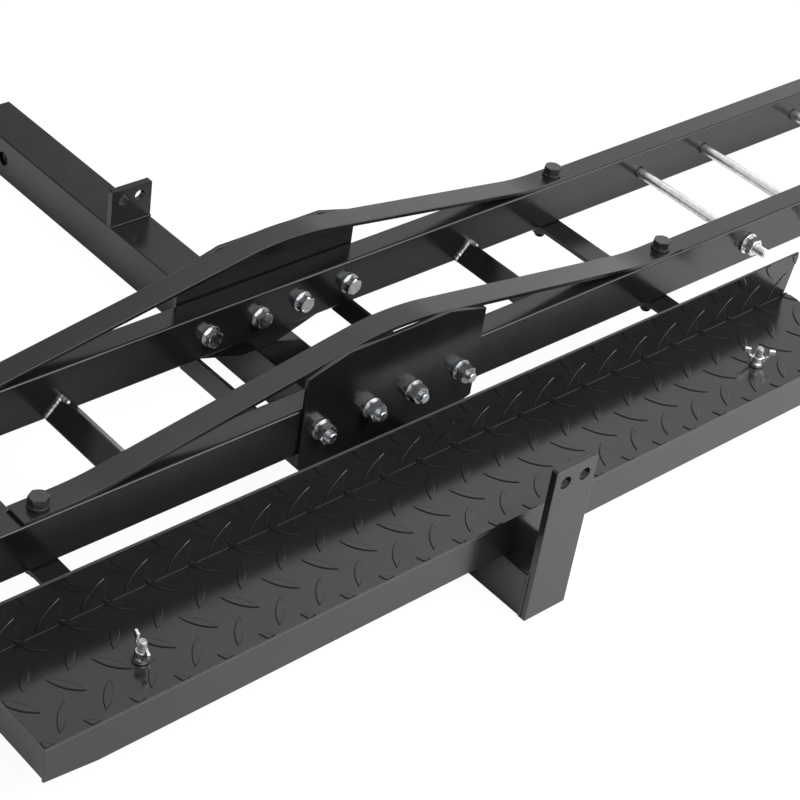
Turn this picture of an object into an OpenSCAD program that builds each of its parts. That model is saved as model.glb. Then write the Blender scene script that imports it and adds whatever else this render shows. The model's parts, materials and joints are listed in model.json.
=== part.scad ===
// Hitch motorcycle carrier with a stowed loading ramp, in millimetres.
// The origin is the centre of the hitch pin hole. +Y points into the receiver, +Z is up,
// and +X runs along the wheel channel.

/* [Hitch bar] */
// Width and height of the square bar that slides into the receiver
hitch_size = 50; // [40:0.5:63]
// Wall of the hitch bar
hitch_wall = 5; // [3:0.5:8]
// Outer corner radius of the hitch bar
hitch_corner = 2; // [1:0.5:8]
// Length of the hitch bar without the end bar
hitch_length = 893; // [870:1:1200]
// Diameter of the hitch pin hole
pin_hole_d = 16.3; // [10:0.1:20]
// Distance from the bar's front end to the pin hole
pin_setback = 65; // [40:1:90]

/* [End bar] */
// Thickness of the flat bar on the outer end
end_bar_t = 7; // [4:0.5:12]
// Height of the end bar from the underside of the hitch bar
end_bar_h = 170.5; // [110:0.5:260]
// Diameter of the two holes in the end bar
end_hole_d = 12.5; // [6:0.5:16]
// Distance between the two holes in the end bar
end_hole_pitch = 23; // [18:0.5:26]
// Distance of the holes from the top of the end bar
end_hole_drop = 16.5; // [10:0.5:30]
// Corner cut at the top of the end bar and of the tie-down tab
corner_cut = 1.5; // [1:0.5:8]

/* [Tie-down tab] */
// Thickness of the tab
tab_t = 7; // [4:0.5:12]
// Height of the tab above the hitch bar
tab_h = 42.8; // [38:0.1:80]
// Distance of the tab's outer face from the pin hole
tab_setback = 199.5; // [120:0.5:400]
// Diameter of the two holes in the tab
tab_hole_d = 12; // [6:0.5:14]
// Distance between the two holes in the tab
tab_hole_pitch = 20; // [16:0.5:26]
// Height of the tab's holes above the hitch bar
tab_hole_h = 29; // [12:0.5:30]

/* [Rails] */
// Width of the rail tube
rail_w = 25.4; // [20:0.1:32]
// Height of the rail tube
rail_h = 50.8; // [40:0.1:64]
// Wall of the rail tube
rail_wall = 2; // [1.5:0.1:4]
// Outer corner radius of the rail tube
rail_corner = 2.5; // [1:0.5:6]
// Length of one rail half, from the middle joint to its end
rail_half = 950; // [800:1:1100]
// Height of the rails above the hitch bar
rail_lift = 39.7; // [34:0.1:60]
// Clear width of the wheel channel between the rails
channel_w = 132; // [110:1:180]
// Distance from the pin hole back to the middle of the wheel channel
channel_setback = 536; // [500:1:600]
// Sideways distance from the hitch bar's centre to the rail joint
carrier_offset = 24.2; // [0:0.1:40]

/* [Centre plates] */
// Thickness of the centre plates
plate_t = 4; // [3:0.5:6]
// Half of the plate's full width
plate_half_w = 105.5; // [100:0.5:140]
// Half of the plate's level top edge
plate_half_top = 60; // [30:0.5:90]
// Half of the plate's level foot on the hitch bar
plate_half_foot = 20; // [10:0.5:24]
// Height of the plate's top edge above the hitch bar
plate_top = 139.5; // [130:0.5:160]
// Height of the plate's shoulders above the hitch bar
plate_shoulder = 127; // [110:0.5:128]
// Height where the foot's slope meets the plate's ends, above the hitch bar
plate_end = 26.5; // [10:0.5:32]
// Distance of the inner plate bolts from the rail joint
bolt_x_inner = 25.3; // [18:0.1:40]
// Distance of the outer plate bolts from the rail joint
bolt_x_outer = 84.2; // [70:0.1:86]

/* [Cross members] */
// Thickness of the cross ties
tie_t = 4; // [3:0.5:8]
// Height of the cross ties
tie_h = 25; // [15:0.5:32]
// Distance of the cross ties from the rail joint
tie_x = 93.5; // [90:0.5:98]
// Leg length of the angle cross bars
crossbar_leg = 25; // [18:0.5:32]
// Thickness of the angle cross bars
crossbar_t = 3; // [2:0.5:5]
// Distance of the angle cross bars from the rail joint
crossbar_x = 247; // [180:0.5:300]
// Width of the arms that carry the ramp
arm_w = 27; // [24:0.5:36]
// Thickness of the arms
arm_t = 5; // [4:0.5:8]
// Distance of the arms from the rail joint
arm_x = 368.5; // [365:0.5:400]

/* [Straps] */
// Width of the arched straps
strap_w = 25; // [24:0.5:32]
// Thickness of the straps
strap_t = 4; // [3:0.5:6]
// Height of the crown's underside above the rails
strap_rise = 49.3; // [40:0.1:50]
// Slope of the straight runs, in degrees
strap_slope = 9.25; // [9:0.05:10]
// Radius of the bends, on the underside of the crown
strap_bend_r = 300; // [150:5:320]
// Distance from the arm's middle to the end of the strap
strap_tail = 21.5; // [14:0.5:30]

/* [Bolts] */
// Thread diameter of the rail, strap and rod fasteners
bolt_d = 12; // [10:1:12]
// Width across flats of their heads and nuts
bolt_af = 18; // [16:0.5:20]
// Height of their heads
head_h = 7.5; // [5:0.5:9]
// Height of their nuts
nut_h = 10; // [8:0.5:12]
// Outer diameter of their washers
washer_d = 24; // [22:0.5:26]
// Outer diameter of the narrow washers under the strap bolts' heads
strap_washer_d = 21; // [20.5:0.5:24]
// Thickness of their washers
washer_t = 2.5; // [1.5:0.1:3]
// Length of thread that stands out of a nut
bolt_tail = 5.5; // [2:0.5:10]
// Radial room of a bolt in its hole
hole_room = 0.5; // [0.2:0.1:1]

/* [Wheel stops] */
// Distance of the inner wheel-stop rods from the rail joint
rod_x_inner = 498; // [440:1:520]
// Distance of the middle wheel-stop rods from the rail joint
rod_x_middle = 602; // [560:1:640]
// Distance of the outer wheel-stop rods from the rail joint
rod_x_outer = 757; // [700:1:780]
// Depth of the closing plugs in the rail ends
plug_depth = 15; // [8:1:30]
// Thickness of the plugs' outer flange
plug_flange = 3; // [1.5:0.5:5]

/* [Ramp] */
// Length of the ramp
ramp_length = 976.4; // [900:0.1:1200]
// Sideways shift of the ramp's middle from the rail joint
ramp_shift = 6; // [-10:0.5:10]
// Width of the ramp's deck
deck_w = 105.8; // [95:0.1:140]
// Thickness of the ramp's sheet
sheet_t = 2.5; // [2:0.1:4]
// Height of the raised edge above the deck
upstand_h = 50.3; // [25:0.1:70]
// Clear space between the ramp's raised edge and the front rail
ramp_gap = 63.9; // [40:0.1:90]
// Inner radius of the fold between the deck and the raised edge
fold_r = 1.5; // [1:0.5:4]
// Overhang of the deck over the end plates
end_plate_inset = 1.5; // [0:0.5:20]
// Height of the end plates' lower edge above the foot of the skirt
end_plate_lift = 5.4; // [0:0.1:8]
// Rise of the skirt's foot at its left end
skirt_end_rise = 5.4; // [1:0.1:12]
// Length over which the skirt's foot rises
skirt_end_run = 50; // [20:1:90]
// Cut at the upper corners of the raised edge
upstand_cut = 12; // [4:0.5:20]

/* [Tread lugs] */
// Length of a lug
lug_l = 33; // [20:0.5:40]
// Width of a lug at its middle
lug_w = 7.6; // [5:0.1:10]
// Height of the lugs above the sheet
lug_h = 0.9; // [0.5:0.1:1.5]
// Distance between lugs along the ramp
lug_pitch_x = 42; // [40:0.5:50]
// Distance between rows of lugs across the ramp
lug_pitch_v = 50.5; // [48:0.5:60]
// Turn of the lugs of one set from the X axis, in degrees
lug_turn_a = -54; // [-60:1:-45]
// Turn of the lugs of the other set from the X axis, in degrees
lug_turn_b = 50; // [45:1:60]
// Distance of the first lug of one set from the ramp's left end and outer face
lug_start_a = [92, 45.9];
// Distance of the first lug of the other set from the ramp's left end and outer face
lug_start_b = [70.7, 20.1];

/* [Ramp studs and wing nuts] */
// Thread diameter of the studs
stud_d = 8; // [6:1:10]
// Distance of the studs from the ramp's outer face
stud_inset = 37.4; // [25:0.1:60]
// Length of the studs above the deck
stud_top = 25; // [20:0.5:45]
// Width across flats of the studs' heads
stud_af = 13; // [12:0.5:17]
// Height of the studs' heads
stud_head_h = 5.5; // [4:0.5:8]
// Outer diameter of the washers below the wing nuts
wing_washer_d = 15; // [14:0.5:24]
// Thickness of those washers
wing_washer_t = 1.2; // [1:0.1:3]
// Diameter of the wing nut's hub at its foot
wing_hub_d = 13; // [12.5:0.5:20]
// Height of the wing nut's hub
wing_hub_h = 9.5; // [7:0.5:14]
// Distance from tip to tip of the wings
wing_span = 31; // [28:0.5:50]
// Height of the wing tips above the hub's foot
wing_h = 18; // [16:0.5:26]
// Thickness of the wings
wing_t = 2.5; // [2:0.5:4]
// Radial running room of the wing nuts and washers on the studs
stud_room = 0.08; // [0.02:0.01:0.1]
// Turn of the left wing nut's wings from the X axis, in degrees
wing_turn_left = 66; // [0:1:180]
// Turn of the right wing nut's wings from the X axis, in degrees
wing_turn_right = 137; // [0:1:180]

/* [Hidden] */
$fn = 48;
eps = 1;
hole_d = bolt_d + 2 * hole_room;
bar_top = hitch_size / 2;
bar_bottom = -hitch_size / 2;
bar_back = pin_setback - hitch_length;
mid_x = -carrier_offset;
channel_y = -channel_setback;
// The front rail is the one nearer the ramp, the rear rail the one nearer the vehicle.
front_in = channel_y - channel_w / 2;
front_out = front_in - rail_w;
front_mid = front_in - rail_w / 2;
rear_in = channel_y + channel_w / 2;
rear_out = rear_in + rail_w;
rear_mid = rear_in + rail_w / 2;
rail_z = bar_top + rail_lift;
rail_top = rail_z + rail_h;
bolt_z = rail_z + rail_h / 2;
arm_z = rail_z - arm_t;
deck_z = rail_z;
deck_top = deck_z + sheet_t;
ramp_in = front_out - ramp_gap;
ramp_out = ramp_in - deck_w;
ramp_mid_x = mid_x + ramp_shift;
fold_y = ramp_in - sheet_t;
stud_y = ramp_out + stud_inset;
plate_bolt_xs = [-bolt_x_outer, -bolt_x_inner, bolt_x_inner, bolt_x_outer];
rod_xs = [rod_x_inner, rod_x_middle, rod_x_outer];
strap_run = (strap_rise - 2 * strap_bend_r * (1 - cos(strap_slope))) / sin(strap_slope);
black = [0.13, 0.13, 0.14];
zinc = [0.72, 0.73, 0.75];
oxide = [0.2, 0.2, 0.21];
plug_black = [0.08, 0.08, 0.08];

// Rectangle with round corners, centred
module round_rect(w, h, r) {
    square([w - 2 * r, h], center = true);
    square([w, h - 2 * r], center = true);
    for (x = [-1, 1], y = [-1, 1])
        translate([x * (w / 2 - r), y * (h / 2 - r)]) circle(r = r);
}

// Cross-section of a rectangular tube
module tube_section(w, h, wall, r) {
    difference() {
        round_rect(w, h, r);
        round_rect(w - 2 * wall, h - 2 * wall, max(r - wall, 0.5));
    }
}

// Lies along +Y from y = 0, for what is drawn along +Z
module along_y() { rotate([-90, 0, 0]) children(); }

// Lies along -Y from y = 0
module against_y() { rotate([90, 0, 0]) children(); }

// Hexagon prism with the turned chamfer of a bolt head on its upper end
module hex_prism(af, h) {
    corner = af / 2 / cos(30);
    intersection() {
        cylinder(r = corner, h = h, $fn = 6);
        union() {
            cylinder(r = corner + eps, h = h - (corner - af / 2));
            translate([0, 0, h - (corner - af / 2)])
                cylinder(r1 = corner, r2 = af / 2 * 0.96, h = corner - af / 2);
        }
    }
}

// Bolt along +Z: the head's underside at z = 0, the shank going down by its length
module bolt_solid(d, af, head, length, lead = 1) {
    hex_prism(af, head);
    translate([0, 0, -length + lead]) cylinder(d = d, h = length - lead);
    translate([0, 0, -length]) cylinder(d1 = d - 2 * lead, d2 = d, h = lead);
}

// Hexagon nut standing on z = 0
module nut_solid(d, af, h) {
    difference() {
        hex_prism(af, h);
        translate([0, 0, -eps]) cylinder(d = d, h = h + 2 * eps);
    }
}

// Flat washer standing on z = 0
module washer_solid(d_out, d_in, t) {
    difference() {
        cylinder(d = d_out, h = t);
        translate([0, 0, -eps]) cylinder(d = d_in, h = t + 2 * eps);
    }
}

// Two holes side by side across X, through a plate that is normal to Y
module hole_pair(d, pitch) {
    for (side = [-1, 1])
        translate([side * pitch / 2, -50, 0]) along_y() cylinder(d = d, h = 100);
}

// Upright flat plate normal to Y, with cut upper corners, centred on x = 0 and standing on z = 0
module cut_corner_plate(w, h, t, cut) {
    translate([0, t, 0]) against_y() linear_extrude(t) polygon([
        [-w / 2, 0], [w / 2, 0], [w / 2, h - cut], [w / 2 - cut, h],
        [-w / 2 + cut, h], [-w / 2, h - cut]
    ]);
}

// Hitch bar with its pin hole through both side walls
module hitch_bar() {
    color(black) difference() {
        translate([0, bar_back, 0]) rotate([-90, 0, 0]) linear_extrude(hitch_length)
            tube_section(hitch_size, hitch_size, hitch_wall, hitch_corner);
        rotate([0, 90, 0]) cylinder(d = pin_hole_d, h = hitch_size + 2 * eps, center = true);
    }
}

// Flat bar welded to the outer end of the hitch bar
module end_bar() {
    color(black) translate([0, bar_back - end_bar_t, bar_bottom]) difference() {
        cut_corner_plate(hitch_size, end_bar_h, end_bar_t, corner_cut);
        translate([0, 0, end_bar_h - end_hole_drop]) hole_pair(end_hole_d, end_hole_pitch);
    }
}

// Tab across the top of the hitch bar
module tie_down_tab() {
    color(black) translate([0, -tab_setback, bar_top]) difference() {
        cut_corner_plate(hitch_size, tab_h, tab_t, corner_cut);
        translate([0, 0, tab_hole_h]) hole_pair(tab_hole_d, tab_hole_pitch);
    }
}

// Outline of a centre plate, with z = 0 on the hitch bar
module plate_outline() {
    polygon([
        [-plate_half_foot, 0], [plate_half_foot, 0],
        [plate_half_w, plate_end], [plate_half_w, plate_shoulder],
        [plate_half_top, plate_top], [-plate_half_top, plate_top],
        [-plate_half_w, plate_shoulder], [-plate_half_w, plate_end]
    ]);
}

// Centre plate whose inner face is at y = 0 and which grows along -Y
module center_plate() {
    color(black) difference() {
        translate([mid_x, 0, bar_top]) against_y() linear_extrude(plate_t) plate_outline();
        for (x = plate_bolt_xs)
            translate([mid_x + x, -plate_t - eps, bolt_z]) along_y()
                cylinder(d = hole_d, h = plate_t + 2 * eps);
    }
}

module front_center_plate() { translate([0, front_out, 0]) center_plate(); }

module rear_center_plate() { translate([0, rear_out + plate_t, 0]) center_plate(); }

// One rail half. side is -1 for the half that runs left from the joint and 1 for the right one.
module rail(side, y_mid) {
    color(black) difference() {
        translate([mid_x + (side < 0 ? -rail_half : 0), y_mid, bolt_z])
            rotate([90, 0, 90]) linear_extrude(rail_half)
                tube_section(rail_w, rail_h, rail_wall, rail_corner);
        for (x = [bolt_x_inner, bolt_x_outer, rod_x_inner, rod_x_middle, rod_x_outer])
            translate([mid_x + side * x, y_mid - rail_w, bolt_z]) along_y()
                cylinder(d = hole_d, h = 2 * rail_w);
        translate([mid_x + side * arm_x, y_mid, rail_z - eps])
            cylinder(d = hole_d, h = rail_h + 2 * eps);
    }
}

module front_rail_left() { rail(-1, front_mid); }
module front_rail_right() { rail(1, front_mid); }
module rear_rail_left() { rail(-1, rear_mid); }
module rear_rail_right() { rail(1, rear_mid); }

// Plugs that close the four rail ends
module rail_end_plugs() {
    color(plug_black) for (side = [-1, 1], y = [front_mid, rear_mid])
        translate([mid_x + side * rail_half, y, bolt_z]) rotate([90, 0, side * 90]) {
            linear_extrude(plug_flange) round_rect(rail_w, rail_h, rail_corner);
            translate([0, 0, -plug_depth]) linear_extrude(plug_depth)
                round_rect(rail_w - 2 * rail_wall, rail_h - 2 * rail_wall,
                           max(rail_corner - rail_wall, 0.5));
        }
}

// Flat on edge below the rails, from plate to plate
module cross_tie(side) {
    color(black) translate([mid_x + side * tie_x - tie_t / 2, front_out, rail_z - tie_h])
        cube([tie_t, rear_out - front_out, tie_h]);
}

module cross_tie_left() { cross_tie(-1); }
module cross_tie_right() { cross_tie(1); }

// Angle bar, ridge up, whose toes lie level with the underside of the rails
module crossbar(side) {
    half = crossbar_leg * sin(45);
    toe = crossbar_t * sin(45);
    color(black) translate([mid_x + side * crossbar_x, rear_in, rail_z])
        against_y() linear_extrude(channel_w) polygon([
            [-half, toe], [0, toe + half], [half, toe],
            [half - toe, 0], [0, half - toe], [-half + toe, 0]
        ]);
}

module crossbar_left() { crossbar(-1); }
module crossbar_right() { crossbar(1); }

// Arm below both rails that reaches out under the ramp's deck
module ramp_arm(side) {
    arm_end = ramp_out + sheet_t;
    color(black) translate([mid_x + side * arm_x, 0, arm_z]) difference() {
        translate([-arm_w / 2, arm_end, 0]) cube([arm_w, rear_out - arm_end, arm_t]);
        for (y = [front_mid, rear_mid])
            translate([0, y, -eps]) cylinder(d = hole_d, h = arm_t + 2 * eps);
        translate([0, stud_y, -eps]) cylinder(d = stud_d, h = arm_t + 2 * eps);
    }
}

module ramp_arm_left() { ramp_arm(-1); }
module ramp_arm_right() { ramp_arm(1); }

// Right half of the strap's underside as [x, z, slope], from the crown to the end
function strap_half_path(steps = 10) =
    let (r = strap_bend_r, a = strap_slope,
         x1 = r * sin(a), z1 = strap_rise - r * (1 - cos(a)),
         x2 = x1 + strap_run * cos(a), z2 = z1 - strap_run * sin(a),
         x3 = x2 + r * sin(a))
    concat(
        [for (i = [0:steps]) let (t = a * i / steps)
            [r * sin(t), strap_rise - r * (1 - cos(t)), t]],
        [for (i = [0:steps]) let (t = a * (1 - i / steps))
            [x3 - r * sin(t), r * (1 - cos(t)), t]],
        [[arm_x + strap_tail, 0, 0]]
    );

// Arched strap along the top of a rail, over the joint
module strap(y_mid) {
    under = strap_half_path();
    over = [for (p = under) [p[0] + strap_t * sin(p[2]), p[1] + strap_t * cos(p[2])]];
    last = len(under) - 1;
    outline = concat(
        [for (i = [last:-1:1]) [-over[i][0], over[i][1]]], over,
        [for (i = [last:-1:0]) [under[i][0], under[i][1]]],
        [for (i = [1:last]) [-under[i][0], under[i][1]]]
    );
    color(black) difference() {
        translate([mid_x, y_mid + strap_w / 2, rail_top])
            against_y() linear_extrude(strap_w) polygon(outline);
        for (side = [-1, 1])
            translate([mid_x + side * arm_x, y_mid, rail_top - eps])
                cylinder(d = hole_d, h = strap_t + 2 * eps);
    }
}

module front_strap() { strap(front_mid); }
module rear_strap() { strap(rear_mid); }

// Places children at the eight plate bolts: z = 0 on the rail's inner face, +Z into the channel
module at_plate_bolt_heads() {
    for (x = plate_bolt_xs) {
        translate([mid_x + x, front_in, bolt_z]) along_y() children();
        translate([mid_x + x, rear_in, bolt_z]) against_y() children();
    }
}

// Places children at the eight plate bolts: z = 0 on the plate's outer face, +Z outwards
module at_plate_bolt_nuts() {
    for (x = plate_bolt_xs) {
        translate([mid_x + x, front_out - plate_t, bolt_z]) against_y() children();
        translate([mid_x + x, rear_out + plate_t, bolt_z]) along_y() children();
    }
}

module plate_bolts() {
    grip = washer_t + rail_w + plate_t + washer_t + nut_h + bolt_tail;
    color(zinc) at_plate_bolt_heads()
        translate([0, 0, washer_t]) bolt_solid(bolt_d, bolt_af, head_h, grip);
}

module plate_head_washers() {
    color(zinc) at_plate_bolt_heads() washer_solid(washer_d, hole_d, washer_t);
}

module plate_nut_washers() {
    color(zinc) at_plate_bolt_nuts() washer_solid(washer_d, hole_d, washer_t);
}

module plate_nuts() {
    color(zinc) at_plate_bolt_nuts()
        translate([0, 0, washer_t]) nut_solid(bolt_d, bolt_af, nut_h);
}

// Places children at the four strap bolts, at height z
module at_strap_bolts(z) {
    for (side = [-1, 1], y = [front_mid, rear_mid])
        translate([mid_x + side * arm_x, y, z]) children();
}

module strap_bolts() {
    grip = washer_t + strap_t + rail_h + arm_t + nut_h + bolt_tail;
    color(oxide) at_strap_bolts(rail_top + strap_t + washer_t)
        bolt_solid(bolt_d, bolt_af, head_h, grip);
}

module strap_washers() {
    color(oxide) at_strap_bolts(rail_top + strap_t) washer_solid(strap_washer_d, hole_d, washer_t);
}

module strap_nuts() {
    color(oxide) at_strap_bolts(arm_z) rotate([180, 0, 0]) nut_solid(bolt_d, bolt_af, nut_h);
}

// Wheel-stop rod across the channel: head behind the rear rail, nut before the front rail
module wheel_rod(x) {
    grip = 2 * washer_t + rear_out - front_out + nut_h + bolt_tail;
    color(zinc) translate([mid_x + x, rear_out + washer_t, bolt_z]) along_y()
        bolt_solid(bolt_d, bolt_af, head_h, grip);
}

module wheel_rod_left_inner() { wheel_rod(-rod_x_inner); }
module wheel_rod_left_middle() { wheel_rod(-rod_x_middle); }
module wheel_rod_left_outer() { wheel_rod(-rod_x_outer); }
module wheel_rod_right_inner() { wheel_rod(rod_x_inner); }
module wheel_rod_right_middle() { wheel_rod(rod_x_middle); }
module wheel_rod_right_outer() { wheel_rod(rod_x_outer); }

module rod_head_washers() {
    color(zinc) for (x = concat(-rod_xs, rod_xs))
        translate([mid_x + x, rear_out, bolt_z]) along_y()
            washer_solid(washer_d, hole_d, washer_t);
}

// Places children before the front rail, at the threaded ends of the rods
module at_rod_ends() {
    for (x = concat(-rod_xs, rod_xs))
        translate([mid_x + x, front_out, bolt_z]) against_y() children();
}

module rod_nut_washers() {
    color(zinc) at_rod_ends() washer_solid(washer_d, hole_d, washer_t);
}

module rod_nuts() {
    color(zinc) at_rod_ends() translate([0, 0, washer_t]) nut_solid(bolt_d, bolt_af, nut_h);
}

// Studs that stand on the arms and come up through the deck
module ramp_studs() {
    length = arm_t + sheet_t + stud_top;
    color(zinc) for (side = [-1, 1])
        translate([mid_x + side * arm_x, stud_y, arm_z]) mirror([0, 0, 1])
            bolt_solid(stud_d, stud_af, stud_head_h, length);
}

// Lens-shaped tread lug along X, standing on z = 0 and sunk a little below it
module tread_lug() {
    r = (lug_l * lug_l + lug_w * lug_w) / (4 * lug_w);
    intersection() {
        translate([0, r - lug_w / 2, -sheet_t / 2]) cylinder(r = r, h = sheet_t / 2 + lug_h);
        translate([0, lug_w / 2 - r, -sheet_t / 2]) cylinder(r = r, h = sheet_t / 2 + lug_h);
    }
}

// One set of lugs within a strip of the unrolled sheet. x runs from the ramp's left end and
// v from its outer face, and the strip goes from v_low to v_high.
module lug_set(start, turn, v_low, v_high) {
    reach = lug_l / 2;
    i_low = ceil((-reach - start[0]) / lug_pitch_x);
    i_high = floor((ramp_length + reach - start[0]) / lug_pitch_x);
    j_low = ceil((v_low - reach * 0.8 - start[1]) / lug_pitch_v);
    j_high = floor((v_high + reach * 0.8 - start[1]) / lug_pitch_v);
    for (i = [i_low:i_high], j = [j_low:j_high])
        translate([start[0] + i * lug_pitch_x, start[1] + j * lug_pitch_v, 0])
            rotate([0, 0, turn]) tread_lug();
}

// All lugs of a strip, cut off at its border and at the cut corners of the raised edge
module lug_strip(v_low, v_high, corner) {
    intersection() {
        union() {
            lug_set(lug_start_a, lug_turn_a, v_low, v_high);
            lug_set(lug_start_b, lug_turn_b, v_low, v_high);
        }
        translate([0, 0, -sheet_t]) linear_extrude(2 * sheet_t) polygon([
            [0, v_low], [ramp_length, v_low], [ramp_length, v_high - corner],
            [ramp_length - corner, v_high], [corner, v_high], [0, v_high - corner]
        ]);
    }
}

// Bar that fills or cuts a corner along X: a square of side r without its round part
module corner_bar(r) {
    difference() {
        translate([0, -eps, -eps]) cube([ramp_length, r + eps, r + eps]);
        translate([-eps, r, r]) rotate([0, 90, 0])
            cylinder(r = r, h = ramp_length + 2 * eps);
    }
}

// Deck of the ramp with the raised edge bent up from it, along X and centred
module ramp_deck() {
    half = ramp_length / 2;
    color(black) difference() {
        translate([ramp_mid_x, 0, 0]) union() {
            translate([-half, ramp_out, deck_z]) cube([ramp_length, deck_w, sheet_t]);
            translate([0, ramp_in, deck_top]) against_y() linear_extrude(sheet_t) polygon([
                [-half, 0], [half, 0], [half, upstand_h - upstand_cut],
                [half - upstand_cut, upstand_h], [-half + upstand_cut, upstand_h],
                [-half, upstand_h - upstand_cut]
            ]);
            translate([-half, fold_y, deck_top]) mirror([0, 1, 0]) corner_bar(fold_r);
            translate([-half, ramp_out, deck_top])
                lug_strip(0, deck_w - sheet_t, 0.01);
            translate([-half, fold_y, deck_top]) against_y()
                translate([0, -(deck_w - sheet_t), 0])
                    lug_strip(deck_w - sheet_t, deck_w - sheet_t + upstand_h, upstand_cut);
        }
        translate([ramp_mid_x - half, ramp_in, deck_z]) mirror([0, 1, 0])
            corner_bar(fold_r + sheet_t);
        for (side = [-1, 1]) translate([mid_x + side * arm_x, stud_y, 0]) {
            translate([0, 0, deck_z - eps])
                cylinder(d = stud_d + 2 * hole_room, h = sheet_t + lug_h + 2 * eps);
            translate([0, 0, deck_top]) cylinder(d = wing_washer_d + 2 * lug_h, h = 2 * lug_h);
        }
    }
}

// Smooth side skirt, welded below the deck's outer edge. Its foot rises at the left end.
module ramp_skirt() {
    half = ramp_length / 2;
    color(black) translate([ramp_mid_x, ramp_out + sheet_t, bar_top])
        against_y() linear_extrude(sheet_t) polygon([
            [-half, skirt_end_rise], [-half + skirt_end_run, 0], [half, 0],
            [half, rail_lift], [-half, rail_lift]
        ]);
}

// Plate that closes the space below the deck at an end of the ramp
module ramp_end_plate(side) {
    x_mid = ramp_mid_x + side * (ramp_length / 2 - end_plate_inset - sheet_t / 2);
    color(black)
        translate([x_mid - sheet_t / 2, ramp_out + sheet_t, bar_top + end_plate_lift])
            cube([sheet_t, deck_w - sheet_t, rail_lift - end_plate_lift]);
}

module ramp_end_plate_left() { ramp_end_plate(-1); }
module ramp_end_plate_right() { ramp_end_plate(1); }

// Places children on the deck at a stud
module at_stud(side, z) { translate([mid_x + side * arm_x, stud_y, z]) children(); }

module wing_washer(side) {
    color(zinc) at_stud(side, deck_top)
        washer_solid(wing_washer_d, stud_d + 2 * stud_room, wing_washer_t);
}

module wing_washer_left() { wing_washer(-1); }
module wing_washer_right() { wing_washer(1); }

// Outline of one wing: it leaves the hub, leans out and ends in a round tip
module wing_outline() {
    tip_r = wing_h / 4;
    root = wing_hub_d / 2 - 1.5;
    union() {
        translate([wing_span / 2 - tip_r, wing_h - tip_r]) circle(r = tip_r);
        polygon([
            [root - 3, 1.5], [root + 1.5, 1.5],
            [wing_span / 2 - tip_r * 0.15, wing_h - tip_r * 1.53],
            [wing_span / 2 - tip_r * 1.6, wing_h - tip_r * 0.2],
            [root - 3, wing_hub_h - 1]
        ]);
    }
}

module wing_nut(side, wing_turn) {
    color(zinc) at_stud(side, deck_top + wing_washer_t) rotate([0, 0, wing_turn]) difference() {
        union() {
            cylinder(d1 = wing_hub_d, d2 = wing_hub_d * 0.8, h = wing_hub_h);
            for (turn = [0, 180])
                rotate([90, 0, turn]) translate([0, 0, -wing_t / 2])
                    linear_extrude(wing_t) wing_outline();
        }
        translate([0, 0, -eps])
            cylinder(d = stud_d + 2 * stud_room, h = wing_h + 2 * eps);
    }
}

module wing_nut_left() { wing_nut(-1, wing_turn_left); }
module wing_nut_right() { wing_nut(1, wing_turn_right); }

hitch_bar();
end_bar();
tie_down_tab();
front_center_plate();
rear_center_plate();
front_rail_left();
front_rail_right();
rear_rail_left();
rear_rail_right();
rail_end_plugs();
cross_tie_left();
cross_tie_right();
crossbar_left();
crossbar_right();
ramp_arm_left();
ramp_arm_right();
front_strap();
rear_strap();
plate_bolts();
plate_head_washers();
plate_nut_washers();
plate_nuts();
strap_bolts();
strap_washers();
strap_nuts();
wheel_rod_left_inner();
wheel_rod_left_middle();
wheel_rod_left_outer();
wheel_rod_right_inner();
wheel_rod_right_middle();
wheel_rod_right_outer();
rod_head_washers();
rod_nut_washers();
rod_nuts();
ramp_studs();
ramp_deck();
ramp_skirt();
ramp_end_plate_left();
ramp_end_plate_right();
wing_washer_left();
wing_washer_right();
wing_nut_left();
wing_nut_right();
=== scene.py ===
"""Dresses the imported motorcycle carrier: worked edges, tread, welds, threads and finishes."""

import json
import logging
import math
from dataclasses import dataclass
from enum import Enum
from typing import Callable, Iterable

import bpy
from mathutils import Matrix, Vector

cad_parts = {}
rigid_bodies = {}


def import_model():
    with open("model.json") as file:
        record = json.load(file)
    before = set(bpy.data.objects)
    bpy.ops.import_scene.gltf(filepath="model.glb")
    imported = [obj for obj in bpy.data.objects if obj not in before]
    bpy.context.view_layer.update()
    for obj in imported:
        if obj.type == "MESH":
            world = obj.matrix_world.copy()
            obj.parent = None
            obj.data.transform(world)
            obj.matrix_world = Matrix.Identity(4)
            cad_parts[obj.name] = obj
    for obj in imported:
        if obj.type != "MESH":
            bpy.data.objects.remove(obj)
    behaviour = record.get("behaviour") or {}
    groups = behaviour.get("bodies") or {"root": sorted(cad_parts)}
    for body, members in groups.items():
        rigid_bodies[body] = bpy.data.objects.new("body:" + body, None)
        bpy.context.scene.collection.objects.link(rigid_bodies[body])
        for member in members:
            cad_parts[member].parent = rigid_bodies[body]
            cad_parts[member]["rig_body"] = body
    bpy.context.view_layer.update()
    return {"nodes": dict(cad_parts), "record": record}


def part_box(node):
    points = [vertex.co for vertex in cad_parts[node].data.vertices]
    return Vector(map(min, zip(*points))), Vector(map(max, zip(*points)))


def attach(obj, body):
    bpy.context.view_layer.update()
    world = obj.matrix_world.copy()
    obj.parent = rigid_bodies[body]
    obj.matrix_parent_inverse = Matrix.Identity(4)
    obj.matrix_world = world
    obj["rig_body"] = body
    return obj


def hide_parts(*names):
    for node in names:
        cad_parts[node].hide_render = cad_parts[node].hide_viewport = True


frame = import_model()

MM = 0.001
LOG = logging.getLogger("carrier")


class Slot(Enum):
    """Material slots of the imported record."""

    POWDER = "black_powder_coat"
    ZINC = "zinc_plated_steel"
    OXIDE = "black_oxide_steel"
    PLUG = "black_plug"


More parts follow.
